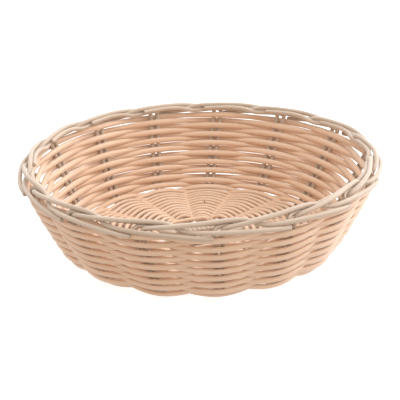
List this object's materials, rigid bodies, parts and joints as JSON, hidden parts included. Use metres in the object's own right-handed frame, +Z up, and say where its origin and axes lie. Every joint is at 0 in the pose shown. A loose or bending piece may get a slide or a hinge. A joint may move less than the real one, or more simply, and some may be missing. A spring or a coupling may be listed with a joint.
{
  "type": "bread basket",
  "caption": "Round open bread basket, woven from pale straw-coloured strands over paired stakes, with sloping sides and a folded border.",
  "frame": {"origin": "centre of the base, on the table that the basket stands on", "axes": "+Z up along the basket's own axis, -Y towards the viewer; the basket is round, so X and Y are arbitrary"},
  "size_m": [0.2093, 0.2095, 0.0565],
  "materials": {
    "stakes": "satin, pale straw",
    "weave": "satin, pale straw, a little warmer than the stakes"
  },
  "bodies": {
    "root": {"stake_rod_01": "stakes", "stake_rod_02": "stakes", "stake_rod_03": "stakes", "stake_rod_04": "stakes", "stake_rod_05": "stakes", "stake_rod_06": "stakes", "stake_rod_07": "stakes", "stake_rod_08": "stakes", "stake_rod_09": "stakes", "stake_rod_10": "stakes", "stake_rod_11": "stakes", "stake_rod_12": "stakes", "stake_rod_13": "stakes", "stake_rod_14": "stakes", "stake_rod_15": "stakes", "stake_rod_16": "stakes", "centre_binder": "weave", "base_weaver_01": "weave", "base_weaver_02": "weave", "base_weaver_03": "weave", "base_weaver_04": "weave", "wall_weaver_01": "weave", "wall_weaver_02": "weave", "wall_weaver_03": "weave", "wall_weaver_04": "weave", "wall_weaver_05": "weave", "wall_weaver_06": "weave"}
  },
  "joints": []
}
